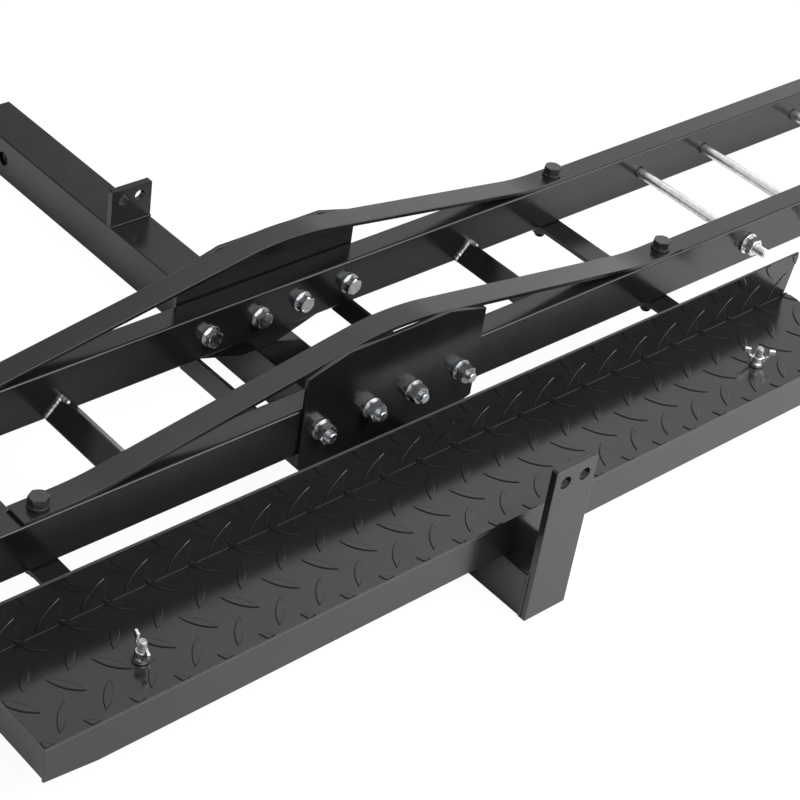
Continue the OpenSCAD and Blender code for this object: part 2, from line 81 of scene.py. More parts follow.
class Facing(Enum):
    """Ways in which a fastener can point, as turns about the X axis in degrees."""

    UP = 0
    DOWN = 180
    OUTWARD = 90
    INWARD = -90

    def turn(self) -> Matrix:
        """Returns the turn that takes +Z to this direction."""
        return Matrix.Rotation(math.radians(self.value), 4, "X")


class Shader:
    """Builds one node material step by step."""

    noise_span: tuple[float, float] = (0.3, 0.7)

    def __init__(self, name: str) -> None:
        """Makes an empty material with an output and a principled shader.

        Args:
            name: The material's name.
        """
        self.material = bpy.data.materials.new(name)
        self.material.use_nodes = True
        self.tree = self.material.node_tree
        self.tree.nodes.clear()
        self.output = self.add("ShaderNodeOutputMaterial")
        self.surface = self.add("ShaderNodeBsdfPrincipled")
        self.link(self.surface, "BSDF", self.output, "Surface")
        self.place = self.add("ShaderNodeTexCoord")

    def add(self, kind: str, **settings: object) -> bpy.types.Node:
        """Adds a node and sets its properties and sockets.

        Args:
            kind: Blender's node type.
            **settings: Properties of the node, or sockets by their name with _ for a space.

        Returns:
            The new node.
        """
        node = self.tree.nodes.new(kind)
        for key, value in settings.items():
            socket = node.inputs.get(key.replace("_", " "))
            if socket is not None:
                socket.default_value = value
            else:
                setattr(node, key, value)
        return node

    def link(self, source: bpy.types.Node, out: str | int, target: bpy.types.Node,
             into: str | int) -> None:
        """Joins an output socket to an input socket."""
        self.tree.links.new(source.outputs[out], target.inputs[into])

    def noise(self, scale: float, detail: float = 3.0,
              roughness: float = 0.55) -> bpy.types.Node:
        """Adds a noise texture on object coordinates.

        Args:
            scale: Repeats per metre.
            detail: Octaves of the noise.
            roughness: How strong the finer octaves are.

        Returns:
            The noise node.
        """
        texture = self.add("ShaderNodeTexNoise", Scale=scale, Detail=detail, Roughness=roughness)
        self.link(self.place, "Object", texture, "Vector")
        return texture

    def spread(self, texture: bpy.types.Node, low: float, high: float) -> bpy.types.Node:
        """Maps the middle of a noise, where nearly all of it lies, to a range of values.

        Args:
            texture: The noise node.
            low: Value where the noise is low.
            high: Value where the noise is high.

        Returns:
            The map range node.
        """
        ranged = self.add("ShaderNodeMapRange")
        for socket, value in zip(ranged.inputs[1:5], (*self.noise_span, low, high)):
            socket.default_value = value
        self.link(texture, "Fac", ranged, "Value")
        return ranged

    def tint(self, factor: bpy.types.Node, dark: tuple[float, float, float],
             light: tuple[float, float, float]) -> bpy.types.Node:
        """Blends two colours by a factor.

        Args:
            factor: Node whose first output is the factor.
            dark: Colour at factor 0.
            light: Colour at factor 1.

        Returns:
            The mix node, whose colour is its output number 2.
        """
        mix = self.add("ShaderNodeMix", data_type="RGBA")
        mix.inputs[6].default_value = (*dark, 1.0)
        mix.inputs[7].default_value = (*light, 1.0)
        self.link(factor, 0, mix, 0)
        return mix

    def colour(self, texture: bpy.types.Node, dark: tuple[float, float, float],
               light: tuple[float, float, float]) -> None:
        """Colours the surface between two tones.

        Args:
            texture: Noise that mixes them.
            dark: Colour where the noise is low.
            light: Colour where the noise is high.
        """
        mix = self.tint(self.spread(texture, 0.0, 1.0), dark, light)
        self.link(mix, 2, self.surface, "Base Color")

    def gloss(self, texture: bpy.types.Node, smooth: float, rough: float) -> None:
        """Varies the surface's roughness between two values by a noise."""
        self.link(self.spread(texture, smooth, rough), 0, self.surface, "Roughness")

    def bump(self, texture: bpy.types.Node, strength: float, depth: float) -> None:
        """Raises the surface by a noise.

        Args:
            texture: The noise node.
            strength: How much of the bump shows.
            depth: Its depth in metres.
        """
        bump = self.add("ShaderNodeBump", Strength=strength, Distance=depth)
        self.link(texture, "Fac", bump, "Height")
        self.link(bump, "Normal", self.surface, "Normal")


@dataclass(frozen=True)
class PowderCoat:
    """Satin black powder coat with a fine orange peel and faint handling marks."""

    name: str = "black powder coat"
    dark: tuple[float, float, float] = (0.0045, 0.0045, 0.005)
    light: tuple[float, float, float] = (0.0085, 0.0085, 0.009)
    smooth: float = 0.16
    rough: float = 0.23
    ior: float = 1.5
    cloud_scale: float = 9.0
    scuff_scale: float = 34.0
    peel_scale: float = 420.0
    peel_strength: float = 0.25
    peel_depth: float = 0.00004

    def build(self) -> bpy.types.Material:
        """Returns the material."""
        s = Shader(self.name)
        s.surface.inputs["IOR"].default_value = self.ior
        s.colour(s.noise(self.cloud_scale, 4.0), self.dark, self.light)
        s.gloss(s.noise(self.scuff_scale, 5.0, 0.6), self.smooth, self.rough)
        s.bump(s.noise(self.peel_scale, 2.0, 0.45), self.peel_strength, self.peel_depth)
        return s.material


@dataclass(frozen=True)
class ZincPlate:
    """Bright zinc on steel, with the faint mottling of the bath."""

    name: str = "bright zinc"
    dark: tuple[float, float, float] = (0.56, 0.58, 0.6)
    light: tuple[float, float, float] = (0.82, 0.83, 0.84)
    smooth: float = 0.15
    rough: float = 0.3
    mottle_scale: float = 160.0
    haze_scale: float = 320.0
    grain_scale: float = 1100.0
    grain_strength: float = 0.5
    grain_depth: float = 0.00008

    def build(self) -> bpy.types.Material:
        """Returns the material."""
        s = Shader(self.name)
        s.surface.inputs["Metallic"].default_value = 1.0
        s.colour(s.noise(self.mottle_scale, 4.0), self.dark, self.light)
        s.gloss(s.noise(self.haze_scale, 4.0), self.smooth, self.rough)
        s.bump(s.noise(self.grain_scale, 3.0), self.grain_strength, self.grain_depth)
        return s.material


@dataclass(frozen=True)
class BlackOxide:
    """Oiled black oxide on steel, a little browner and duller than the powder coat."""

    name: str = "black oxide"
    dark: tuple[float, float, float] = (0.011, 0.0105, 0.01)
    light: tuple[float, float, float] = (0.024, 0.023, 0.022)
    smooth: float = 0.16
    rough: float = 0.3
    ior: float = 1.6
    mottle_scale: float = 210.0
    oil_scale: float = 420.0
    grain_scale: float = 1100.0
    grain_strength: float = 0.3
    grain_depth: float = 0.00005

    def build(self) -> bpy.types.Material:
        """Returns the material."""
        s = Shader(self.name)
        s.surface.inputs["IOR"].default_value = self.ior
        s.colour(s.noise(self.mottle_scale, 4.0), self.dark, self.light)
        s.gloss(s.noise(self.oil_scale, 4.0), self.smooth, self.rough)
        s.bump(s.noise(self.grain_scale, 3.0), self.grain_strength, self.grain_depth)
        return s.material


@dataclass(frozen=True)
class PlugPlastic:
    """Matt black plastic with a spark-eroded grain."""

    name: str = "black plastic"
    dark: tuple[float, float, float] = (0.011, 0.011, 0.011)
    light: tuple[float, float, float] = (0.018, 0.018, 0.018)
    smooth: float = 0.42
    rough: float = 0.55
    tone_scale: float = 60.0
    haze_scale: float = 300.0
    grain_scale: float = 1500.0
    grain_strength: float = 0.5
    grain_depth: float = 0.00006

    def build(self) -> bpy.types.Material:
        """Returns the material."""
        s = Shader(self.name)
        s.colour(s.noise(self.tone_scale), self.dark, self.light)
        s.gloss(s.noise(self.haze_scale), self.smooth, self.rough)
        s.bump(s.noise(self.grain_scale, 2.0), self.grain_strength, self.grain_depth)
        return s.material


@dataclass(frozen=True)
class BareWeld:
    """Zinc-sprayed weld metal, silvery, its colour swung by a noise from near black to near white:
    painted shade and painted highlights that stand in for the dark reflections and glints of its
    ripples.
    """

    name: str = "bare weld"
    # dark is painted shade and light is painted highlight, both spread over the bead by a noise
    dark: tuple[float, float, float] = (0.08, 0.08, 0.075)
    light: tuple[float, float, float] = (0.95, 0.94, 0.92)
    metallic: float = 0.85
    smooth: float = 0.3
    rough: float = 0.5
    tone_scale: float = 260.0
    haze_scale: float = 500.0
    ripple_scale: float = 700.0
    ripple_strength: float = 0.6
    ripple_depth: float = 0.0002

    def build(self) -> bpy.types.Material:
        """Returns the material."""
        s = Shader(self.name)
        s.surface.inputs["Metallic"].default_value = self.metallic
        # Painted shade and painted highlights: the noise scatters near-black and near-white
        # patches over the bead, not tied to its hollows.
        s.colour(s.noise(self.tone_scale, 5.0), self.dark, self.light)
        s.gloss(s.noise(self.haze_scale), self.smooth, self.rough)
        s.bump(s.noise(self.ripple_scale, 4.0), self.ripple_strength, self.ripple_depth)
        return s.material


class Bench:
    """The workbench: Blender's own modelling operators, one object at a time."""

    @staticmethod
    def clear() -> None:
        """Leaves edit mode and deselects everything."""
        if bpy.context.object is not None and bpy.context.object.mode != "OBJECT":
            bpy.ops.object.mode_set(mode="OBJECT")
        bpy.ops.object.select_all(action="DESELECT")

    @staticmethod
    def pick(*pieces: bpy.types.Object) -> bpy.types.Object:
        """Selects pieces and makes the first one active.

        Args:
            *pieces: The objects to select.

        Returns:
            The first of them.
        """
        Bench.clear()
        for piece in pieces:
            piece.hide_viewport = False
            piece.select_set(True)
        bpy.context.view_layer.objects.active = pieces[0]
        return pieces[0]

    @staticmethod
    def named(name: str) -> bpy.types.Object:
        """Names the active object and its mesh.

        Args:
            name: The new name.

        Returns:
            The active object.
        """
        piece = bpy.context.object
        piece.name = name
        piece.data.name = name
        return piece

    @staticmethod
    def apply_place(piece: bpy.types.Object) -> bpy.types.Object:
        """Bakes the object's place, turn and scale into its mesh and returns it."""
        Bench.pick(piece)
        bpy.ops.object.transform_apply(location=True, rotation=True, scale=True)
        return piece

    @staticmethod
    def cylinder(name: str, radius: float, low: float, high: float,
                 sides: int = 48) -> bpy.types.Object:
        """Adds an upright cylinder on the Z axis.

        Args:
            name: The new piece's name.
            radius: Its radius.
            low: Height of its foot.
            high: Height of its top.
            sides: Facets around it.

        Returns:
            The cylinder.
        """
        Bench.clear()
        bpy.ops.mesh.primitive_cylinder_add(vertices=sides, radius=radius, depth=high - low,
                                            location=(0.0, 0.0, (low + high) / 2))
        return Bench.apply_place(Bench.named(name))

    @staticmethod
    def block(name: str, low: Vector, high: Vector) -> bpy.types.Object:
        """Adds a box between two corners.

        Args:
            name: The new piece's name.
            low: Its lowest corner.
            high: Its highest corner.

        Returns:
            The box.
        """
        Bench.clear()
        size = Vector(high) - Vector(low)
        bpy.ops.mesh.primitive_cube_add(size=1.0, location=(Vector(low) + Vector(high)) / 2)
        piece = Bench.named(name)
        piece.scale = size
        return Bench.apply_place(piece)

    @staticmethod
    def turned(name: str, profile: list[tuple[float, float]], sides: int = 48) -> bpy.types.Object:
        """Turns a solid about the Z axis, from its foot upwards.

        Args:
            name: The new piece's name.
            profile: Pairs of radius and height, from the lowest to the highest.
            sides: Facets around the axis.

        Returns:
            The turned piece.
        """
        (radius, low), (next_radius, high) = profile[:2]
        Bench.clear()
        bpy.ops.mesh.primitive_cone_add(vertices=sides, radius1=radius, radius2=next_radius,
                                        depth=high - low, location=(0.0, 0.0, (low + high) / 2))
        piece = Bench.apply_place(Bench.named(name))
        Bench.edit(piece)
        for (radius, low), (next_radius, high) in zip(profile[1:], profile[2:]):
            Bench.choose(piece, "polygons", lambda f: f.normal.z > 0.9
                         and abs(f.center.z - low) < 1e-7 and len(f.vertices) > 4)
            bpy.ops.mesh.extrude_region_move(
                TRANSFORM_OT_translate={"value": (0.0, 0.0, high - low)})
            scale = next_radius / radius
            bpy.ops.transform.resize(value=(scale, scale, 1.0))
        Bench.done()
        return piece

    @staticmethod
    def islands(node: str) -> list[tuple[Vector, Vector]]:
        """Finds the separate solids of a CAD node.

        Args:
            node: The CAD node's name.

        Returns:
            The lowest and highest corner of each solid, ordered by their Y and X.
        """
        mesh = frame["nodes"][node].data
        spots: dict[tuple[float, ...], int] = {}
        for vertex in mesh.vertices:
            spots.setdefault(tuple(round(c, 6) for c in vertex.co), len(spots))
        index = [spots[tuple(round(c, 6) for c in v.co)] for v in mesh.vertices]
        root = list(range(len(spots)))

        def find(i: int) -> int:
            """Follows a spot to the root of its solid."""
            while root[i] != i:
                root[i] = root[root[i]]
                i = root[i]
            return i

        for edge in mesh.edges:
            a, b = (find(index[v]) for v in edge.vertices)
            root[a] = b
        groups: dict[int, list[tuple[float, ...]]] = {}
        for spot, i in spots.items():
            groups.setdefault(find(i), []).append(spot)
        boxes = [(Vector(map(min, zip(*g))), Vector(map(max, zip(*g)))) for g in groups.values()]
        return sorted(boxes, key=lambda box: (round(box[0].y, 4), round(box[0].x, 4)))

    @staticmethod
    def edit(piece: bpy.types.Object, mode: str = "FACE", everything: bool = False) -> None:
        """Opens a piece in edit mode.

        Args:
            piece: The object to work on.
            mode: Kind of element that is selected from here on.
            everything: Whether all of it is selected, or nothing.
        """
        Bench.pick(piece)
        bpy.ops.object.mode_set(mode="EDIT")
        bpy.ops.mesh.select_mode(type=mode)
        bpy.ops.mesh.select_all(action="SELECT" if everything else "DESELECT")

    @staticmethod
    def choose(piece: bpy.types.Object, kind: str, test: Callable[[object], bool]) -> int:
        """Selects vertices or polygons of the piece in edit mode by a test.

        Args:
            piece: The object that is in edit mode.
            kind: "vertices" or "polygons".
            test: Says whether a vertex or polygon is wanted.

        Returns:
            How many were selected.
        """
        bpy.ops.mesh.select_mode(type="VERT" if kind == "vertices" else "FACE")
        bpy.ops.mesh.select_all(action="DESELECT")
        bpy.ops.object.mode_set(mode="OBJECT")
        count = 0
        for item in getattr(piece.data, kind):
            item.select = bool(test(item))
            count += item.select
        bpy.ops.object.mode_set(mode="EDIT")
        return count

    @staticmethod
    def done() -> None:
        """Leaves edit mode."""
        bpy.ops.object.mode_set(mode="OBJECT")

    @staticmethod
    def trim(piece: bpy.types.Object, point: tuple[float, float, float],
             normal: tuple[float, float, float]) -> None:
        """Cuts off what lies beyond a plane and closes the cut.

        Args:
            piece: The solid to trim.
            point: A point of the plane.
            normal: The plane's normal, towards what is cut off.
        """
        Bench.edit(piece, everything=True)
        bpy.ops.mesh.bisect(plane_co=point, plane_no=normal, clear_outer=True, use_fill=True)
        Bench.done()

    @staticmethod
    def modify(piece: bpy.types.Object, kind: str, **settings: object) -> bpy.types.Object:
        """Adds a modifier and applies it.

        Args:
            piece: The object to change.
            kind: Blender's modifier type.
            **settings: Properties of the modifier.

        Returns:
            The same object.
        """
        Bench.pick(piece)
        modifier = piece.modifiers.new(kind.lower(), kind)
        for key, value in settings.items():
            setattr(modifier, key, value)
        bpy.ops.object.modifier_apply(modifier=modifier.name)
        return piece

    @staticmethod
    def combine(piece: bpy.types.Object, other: bpy.types.Object,
                operation: str) -> bpy.types.Object:
        """Cuts, joins or crosses a piece with another solid.

        Args:
            piece: The object to change.
            other: The other solid, used up here.
            operation: DIFFERENCE, UNION or INTERSECT.

        Returns:
            The changed piece.
        """
        Bench.modify(piece, "BOOLEAN", object=other, operation=operation, solver="EXACT")
        Bench.drop(other)
        return piece

    @staticmethod
    def drop(piece: bpy.types.Object) -> None:
        """Deletes a helper object and its mesh.

        Args:
            piece: The helper.
        """
        mesh = piece.data
        bpy.data.objects.remove(piece)
        bpy.data.meshes.remove(mesh)

    @staticmethod
    def copy(piece: bpy.types.Object, place: Matrix) -> bpy.types.Object:
        """Duplicates a piece with its own mesh.

        Args:
            piece: The object to copy.
            place: Where the copy goes.

        Returns:
            The copy, with its place in its mesh.
        """
        Bench.pick(piece)
        bpy.ops.object.duplicate(linked=False)
        twin = bpy.context.object
        twin.matrix_world = place
        return Bench.apply_place(twin)

    @staticmethod
    def join(name: str, pieces: list[bpy.types.Object]) -> bpy.types.Object:
        """Joins pieces into one object.

        Args:
            name: The joined object's name.
            pieces: The objects, used up here.

        Returns:
            The joined object.
        """
        Bench.pick(*pieces)
        if len(pieces) > 1:
            bpy.ops.object.join()
        return Bench.named(name)

    @staticmethod
    def repair(piece: bpy.types.Object, distance: float = 1e-6) -> bpy.types.Object:
        """Merges double vertices and turns all faces outwards.

        Args:
            piece: The object to repair.
            distance: How near two vertices are to count as one.

        Returns:
            The same object.
        """
        Bench.edit(piece, everything=True)
        bpy.ops.mesh.remove_doubles(threshold=distance)
        bpy.ops.mesh.normals_make_consistent(inside=False)
        Bench.done()
        return piece

    @staticmethod
    def smooth(piece: bpy.types.Object, degrees: float = 35.0) -> bpy.types.Object:
        """Shades a piece smooth across edges flatter than an angle and returns it."""
        Bench.pick(piece)
        bpy.ops.object.shade_smooth_by_angle(angle=math.radians(degrees))
        return piece

    @staticmethod
    def round_edges(piece: bpy.types.Object, width: float, segments: int = 2,
                    degrees: float = 40.0) -> bpy.types.Object:
        """Rounds the sharp edges of a piece and shades it with its flat faces kept flat.

        Args:
            piece: The object to finish.
            width: Width of the rounding.
            segments: Steps of the rounding.
            degrees: Edges that turn by more than this are rounded.

        Returns:
            The same object.
        """
        Bench.smooth(piece, degrees)
        Bench.modify(piece, "BEVEL", width=width, segments=segments, limit_method="ANGLE",
                     angle_limit=math.radians(degrees), harden_normals=True,
                     use_clamp_overlap=True)
        return Bench.modify(piece, "WEIGHTED_NORMAL", keep_sharp=True, weight=100)


class Finisher:
    """Hands out the finishes and signs each piece over to its body."""

    def __init__(self) -> None:
        """Builds every material once."""
        self.materials = {
            Slot.POWDER: PowderCoat().build(),
            Slot.ZINC: ZincPlate().build(),
            Slot.OXIDE: BlackOxide().build(),
            Slot.PLUG: PlugPlastic().build(),
        }
        self.weld = BareWeld().build()
        self.rod_zinc = ZincPlate("dull zinc", (0.66, 0.68, 0.68), (0.9, 0.91, 0.9),
                                  0.26, 0.4).build()
        self.stud_zinc = ZincPlate("grey zinc", (0.3, 0.3, 0.3), (0.5, 0.5, 0.49),
                                   0.3, 0.45).build()
        self.node_slot = {row["node"]: Slot(row["material_slot"])
                          for row in frame["record"]["subparts"]}
        self.node_body = {name: obj["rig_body"] for name, obj in frame["nodes"].items()}

    def paint(self, piece: bpy.types.Object, material: bpy.types.Material) -> None:
        """Gives a piece one material all over."""
        piece.data.materials.clear()
        piece.data.materials.append(material)

    def carry(self, piece: bpy.types.Object, body: str, slot: Slot,
              replaces: Iterable[str] = (), material: bpy.types.Material | None = None) -> None:
        """Finishes a piece and lets it ride on its body.

        Args:
            piece: The finished object, at the origin.
            body: The CAD body it moves with.
            slot: The record's material slot.
            replaces: CAD nodes it stands for.
            material: Another material than the slot's own, or None.
        """
        self.paint(piece, material or self.materials[slot])
        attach(piece, body)
        names = list(replaces)
        if names:
            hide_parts(*names)
        LOG.info("%s rides on %s with %d faces", piece.name, body, len(piece.data.polygons))

    def dress_nodes(self) -> None:
        """Gives every CAD node the finish of its slot."""
        for name, node in frame["nodes"].items():
            for place in node.material_slots:
                place.material = self.materials[self.node_slot[name]]


@dataclass
class Steelwork:
    """The welded and cut steel pieces, with the worn-in edges that real plate and tube have."""

    tube_edge: float = 0.6 * MM
    plate_edge: float = 0.5 * MM
    angle_edge: float = 1.3 * MM
    flat_angle: float = 0.6
    tubes: tuple[str, ...] = ("hitch_bar", "front_rail_left", "front_rail_right",
                              "rear_rail_left", "rear_rail_right")
    plates: tuple[str, ...] = (
        "end_bar", "tie_down_tab", "front_center_plate", "rear_center_plate",
        "cross_tie_left", "cross_tie_right", "ramp_arm_left", "ramp_arm_right", "front_strap",
        "rear_strap", "ramp_skirt", "ramp_end_plate_left", "ramp_end_plate_right")
    angles: tuple[str, ...] = ("crossbar_left", "crossbar_right")

    def worked(self, node: str, width: float) -> bpy.types.Object:
        """Copies a CAD node and rounds its edges.

        Args:
            node: The CAD node.
            width: Width of the rounding.

        Returns:
            The rounded copy.
        """
        piece = Bench.copy(frame["nodes"][node], Matrix.Identity(4))
        piece.parent = None
        for key in list(piece.keys()):
            del piece[key]
        piece.name = piece.data.name = f"{node}_worked"
        Bench.repair(piece, 2e-6)
        Bench.edit(piece, everything=True)
        bpy.ops.mesh.dissolve_limited(angle_limit=math.radians(self.flat_angle))
        Bench.done()
        return Bench.round_edges(piece, width)

    def build(self, finisher: Finisher) -> None:
        """Makes and dresses all steelwork pieces."""
        for names, width in ((self.tubes, self.tube_edge), (self.plates, self.plate_edge),
                             (self.angles, self.angle_edge)):
            for node in names:
                finisher.carry(self.worked(node, width), finisher.node_body[node],
                               finisher.node_slot[node], [node])


@dataclass
class TreadDeck:
    """The folded tread plate of the ramp: a sheet with lens-shaped lugs that run over its fold."""

    sheet: float = 2.5 * MM
    end_slant: float = 8.0 * MM
    stud_hole: float = 4.5 * MM
    edge: float = 0.5 * MM
    lug_length: float = 33.0 * MM
    lug_width: float = 7.6 * MM
    lug_height: float = 0.9 * MM
    lug_rim: float = 0.62
    lug_top: tuple[float, float] = (0.93, 0.78)
    lug_sides: int = 144
    lug_shade: float = 12.0
    border: float = 0.6 * MM
    fold_radius: float = 1.5 * MM
    flat_room: float = 0.9 * MM
    pitch_x: float = 42.0 * MM
    pitch_v: float = 50.5 * MM
    first_a: tuple[float, float] = (-414.4 * MM, -751.2 * MM)
    first_b: tuple[float, float] = (-435.7 * MM, -777.0 * MM)
    turn_a: float = -54.0
    turn_b: float = 50.0

    def __post_init__(self) -> None:
        """Reads the deck's place from its CAD node."""
        self.low, self.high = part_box("ramp_deck")
        self.top = self.low.z + self.sheet
        self.fold = self.high.y - self.sheet
        self.fold_height = self.high.z - self.top

    def sheet_piece(self) -> bpy.types.Object:
        """Returns the deck with its raised edge and stud holes."""
        piece = Bench.block("ramp_deck_sheet", self.low,
                            Vector((self.high.x, self.high.y, self.top)))
        Bench.edit(piece, everything=True)
        bpy.ops.mesh.bisect(plane_co=(0.0, self.fold, 0.0), plane_no=(0.0, 1.0, 0.0))
        Bench.choose(piece, "polygons",
                     lambda p: p.normal.z > 0.9 and p.center.y > self.fold)
        bpy.ops.mesh.extrude_region_move(
            TRANSFORM_OT_translate={"value": (0.0, 0.0, self.fold_height)})
        Bench.done()
        for side in (-1, 1):
            Bench.combine(piece, self.end_wedge(side), "DIFFERENCE")
        for x, y, _ in self.studs():
            drill = Bench.cylinder("drill", self.stud_hole, self.low.z - 0.01, self.top + 0.01)
            drill.location = (x, y, 0.0)
            Bench.combine(piece, Bench.apply_place(drill), "DIFFERENCE")
        self.round_fold(piece)
        return Bench.round_edges(piece, self.edge)

    def end_wedge(self, side: int) -> bpy.types.Object:
        """Returns the wedge that slants an end of the raised edge.

        Args:
            side: -1 for the left end and 1 for the right one.
        """
        end = self.high.x if side > 0 else self.low.x
        over = 1.0 * MM
        near, far = sorted((end - side * self.end_slant, end + side * over))
        wedge = Bench.block("wedge", Vector((near, self.fold - over, self.top + 0.3 * MM)),
                            Vector((far, self.high.y + over, self.high.z + over)))
        Bench.edit(wedge)
        Bench.choose(wedge, "vertices", lambda v: v.co.z > self.high.z
                     and abs(v.co.x - (end - side * self.end_slant)) < 1e-6)
        bpy.ops.transform.translate(value=(side * self.end_slant, 0.0, 0.0))
        Bench.done()
        return wedge

    def studs(self) -> list[tuple[float, float, float]]:
        """Returns the place of each stud and the radius of the bare ring around it."""
        places = []
        for washer in ("wing_washer_left", "wing_washer_right"):
            low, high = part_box(washer)
            middle = (low + high) / 2
            places.append((middle.x, middle.y, (high.x - low.x) / 2 + self.flat_room))
        return places

    def round_fold(self, piece: bpy.types.Object) -> None:
        """Bends the sheet with a radius inside and outside of the fold."""
        for y, z, radius in ((self.fold, self.top, self.fold_radius),
                             (self.high.y, self.low.z, self.fold_radius + self.sheet)):
            Bench.edit(piece)
            Bench.choose(piece, "vertices", lambda v: abs(v.co.y - y) < 1e-6
                         and abs(v.co.z - z) < 1e-6)
            bpy.ops.mesh.select_mode(type="EDGE")
            bpy.ops.mesh.bevel(offset=radius, segments=5, affect="EDGES")
            Bench.done()

    def lug(self) -> bpy.types.Object:
        """Returns one lug along X at the origin: a lens with a steep rim and a flat top."""
        half_w, half_l = self.lug_width / 2, self.lug_length / 2
        radius = (half_l ** 2 + half_w ** 2) / (2 * half_w)
        rise = self.lug_height * self.lug_rim
        piece = Bench.cylinder("lug", radius, -0.2 * MM, rise, self.lug_sides)
        piece.location.y = radius - half_w
        other = Bench.cylinder("lug_other", radius, -0.3 * MM, rise * 2, self.lug_sides)
        other.location.y = half_w - radius
        Bench.apply_place(piece)
        Bench.combine(piece, Bench.apply_place(other), "INTERSECT")
        Bench.edit(piece)
        Bench.choose(piece, "polygons", lambda p: p.normal.z > 0.9)
        bpy.ops.mesh.extrude_region_move(
            TRANSFORM_OT_translate={"value": (0.0, 0.0, self.lug_height - rise)})
        bpy.ops.transform.resize(value=(*self.lug_top, 1.0))
        Bench.done()
        return piece

    @staticmethod
    def steps(first: float, pitch: float, start: float, end: float) -> list[float]:
        """Returns the places of a row that lie between two limits.

        Args:
            first: Any place of the row.
            pitch: Distance from one place to the next.
            start: Lower limit.
            end: Upper limit.
        """
        reach = math.ceil((end - start) / pitch) + 1
        places = [first + i * pitch for i in range(-reach, reach + 1)]
        return [place for place in places if start < place < end]

    def row(self, lug: bpy.types.Object, first: tuple[float, float],
            turn: float) -> list[bpy.types.Object]:
        """Copies the lug over the unrolled sheet on one of the two lattices.

        Args:
            lug: The model lug.
            first: A lattice point as x and unrolled width.
            turn: Turn of the lugs from the X axis, in degrees.

        Returns:
            The copies, flat on the deck's level.
        """
        reach = self.lug_length / 2
        v_end = self.fold + self.fold_height
        copies = []
        for v in self.steps(first[1], self.pitch_v, self.low.y - reach, v_end + reach):
            for x in self.steps(first[0], self.pitch_x, self.low.x - reach, self.high.x + reach):
                place = (Matrix.Translation((x, v, self.top))
                         @ Matrix.Rotation(math.radians(turn), 4, "Z"))
                copies.append(Bench.copy(lug, place))
        for x, y, radius in self.studs():
            for copy in copies:
                corners = [v.co for v in copy.data.vertices]
                middle = sum(corners, Vector()) / len(corners)
                if (Vector((x, y)) - middle.xy).length < radius + reach:
                    ring = Bench.cylinder("ring", radius, self.top - 0.01, self.top + 0.01)
                    ring.location = (x, y, 0.0)
                    Bench.combine(copy, Bench.apply_place(ring), "DIFFERENCE")
        return self.left_over(copies)

    @staticmethod
    def left_over(copies: list[bpy.types.Object]) -> list[bpy.types.Object]:
        """Drops the copies that a cut took away whole.

        Args:
            copies: The cut copies.

        Returns:
            Those that still have faces.
        """
        kept = []
        for copy in copies:
            if len(copy.data.polygons):
                kept.append(copy)
            else:
                Bench.drop(copy)
        return kept

    def lugs(self) -> bpy.types.Object:
        """Returns all lugs in one piece, cut at the sheet's edges and bent over its fold."""
        lug = self.lug()
        copies = (self.row(lug, self.first_a, self.turn_a)
                  + self.row(lug, self.first_b, self.turn_b))
        Bench.drop(lug)
        margin = self.border
        for copy in copies:
            self.trim_end(copy)
        piece = Bench.join("tread_lugs", self.left_over(copies))
        v_end = self.fold + self.fold_height - margin
        for point, normal in (((self.low.x + margin, 0, 0), (-1, 0, 0)),
                              ((self.high.x - margin, 0, 0), (1, 0, 0)),
                              ((0, self.low.y + margin, 0), (0, -1, 0)),
                              ((0, v_end, 0), (0, 1, 0))):
            Bench.trim(piece, point, normal)
        Bench.edit(piece, everything=True)
        bpy.ops.mesh.bisect(plane_co=(0, self.fold, 0), plane_no=(0, 1, 0))
        heights = sorted({round(v.co.z, 6) for v in piece.data.vertices})
        Bench.choose(piece, "vertices", lambda v: v.co.y > self.fold + 1e-6)
        bpy.ops.transform.rotate(value=math.radians(-90), orient_axis="X",
                                 center_override=(0.0, self.fold, self.top))
        for z in heights:
            if z <= self.top:
                continue
            if Bench.choose(piece, "vertices", lambda v: abs(v.co.y - self.fold) < 2e-6
                            and abs(v.co.z - z) < 2e-6):
                bpy.ops.transform.translate(value=(0.0, self.top - z, 0.0))
        Bench.done()
        Bench.smooth(piece, self.lug_shade)
        return piece

    def trim_end(self, lug: bpy.types.Object) -> None:
        """Cuts a lug of the raised edge off along the edge's slanted end.

        Args:
            lug: One lug, still unrolled.
        """
        xs = [v.co.x for v in lug.data.vertices]
        if min(v.co.y for v in lug.data.vertices) < self.fold - self.lug_length / 3:
            return
        slant = Vector((self.fold_height, -self.end_slant)).normalized()
        right = self.high.x - self.end_slant - self.border
        left = self.low.x + self.end_slant + self.border
        if max(xs) > right:
            Bench.trim(lug, (right, self.fold, 0.0), (slant.x, slant.y, 0.0))
        elif min(xs) < left:
            Bench.trim(lug, (left, self.fold, 0.0), (-slant.x, slant.y, 0.0))

    def build(self, finisher: Finisher) -> None:
        """Makes and dresses the deck and its lugs."""
        finisher.carry(self.sheet_piece(), "ramp", Slot.POWDER, ["ramp_deck"])
        finisher.carry(self.lugs(), "ramp", Slot.POWDER)


